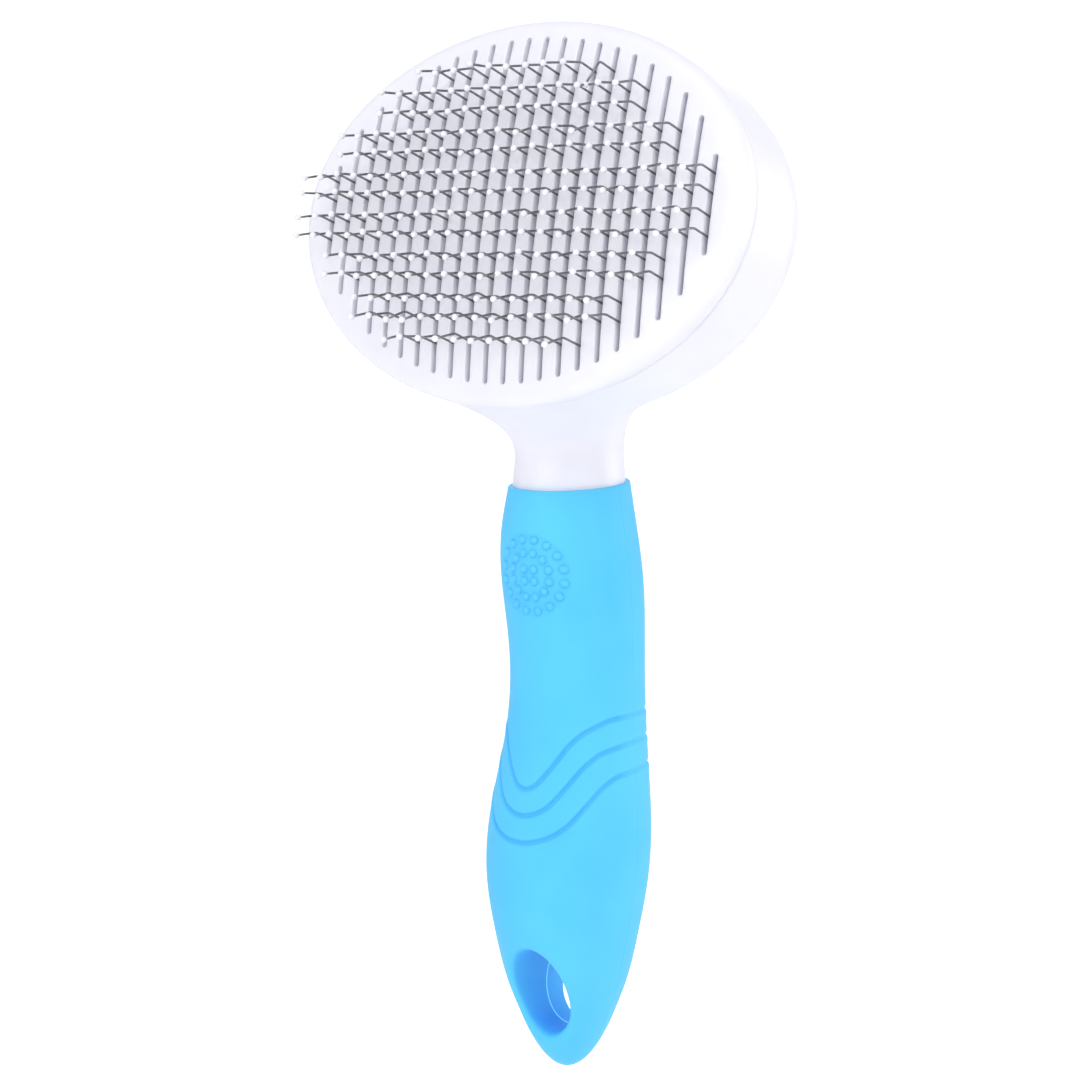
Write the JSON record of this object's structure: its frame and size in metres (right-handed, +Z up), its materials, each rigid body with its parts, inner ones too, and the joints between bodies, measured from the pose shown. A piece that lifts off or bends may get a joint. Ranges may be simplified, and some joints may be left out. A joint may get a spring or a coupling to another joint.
{
  "type": "slicker brush",
  "caption": "Oval-headed pet slicker brush: bent wire pins with ball tips, a slotted plate that slides out over them, a push button and a soft grip.",
  "frame": {"origin": "centre of the hang hole, on the handle's own axis", "axes": "+Z up the handle towards the head, -Y the side that the pins point to, +X to the right of someone who faces the pins"},
  "size_m": [0.0988, 0.0554, 0.2021],
  "materials": {
    "white_abs": "smooth satin white moulding",
    "blue_rubber": "fine matt sky-blue overmould",
    "blue_abs": "satin sky-blue moulding",
    "pad_rubber": "grey-mauve rubber sheet",
    "inner_abs": "natural white moulding",
    "wire_steel": "fine drawn stainless wire",
    "tip_resin": "translucent white resin beads",
    "spring_steel": "bare spring wire",
    "screw_steel": "zinc-plated screws"
  },
  "bodies": {
    "handle": {"handle_core": "white_abs", "grip": "blue_rubber", "pin_pad": "pad_rubber", "pin_base": "inner_abs", "base_screws": "screw_steel", "return_spring": "spring_steel", "pins_1": "wire_steel", "pin_tips_1": "tip_resin", "pins_2": "wire_steel", "pin_tips_2": "tip_resin", "pins_3": "wire_steel", "pin_tips_3": "tip_resin", "pins_4": "wire_steel", "pin_tips_4": "tip_resin", "pins_5": "wire_steel", "pin_tips_5": "tip_resin", "pins_6": "wire_steel", "pin_tips_6": "tip_resin", "pins_7": "wire_steel", "pin_tips_7": "tip_resin", "pins_8": "wire_steel", "pin_tips_8": "tip_resin"},
    "cleaner": {"face_plate": "white_abs", "pusher": "inner_abs", "push_button": "blue_abs"}
  },
  "joints": [
    {"name": "plate_slide", "type": "slide", "parent": "handle", "child": "cleaner", "axis": [0, -0.9744, 0.225], "range_m": [0, 0.0085], "stiffness_N_per_m": 494, "springref_m": -0.0045, "deforming": ["return_spring"]}
  ]
}
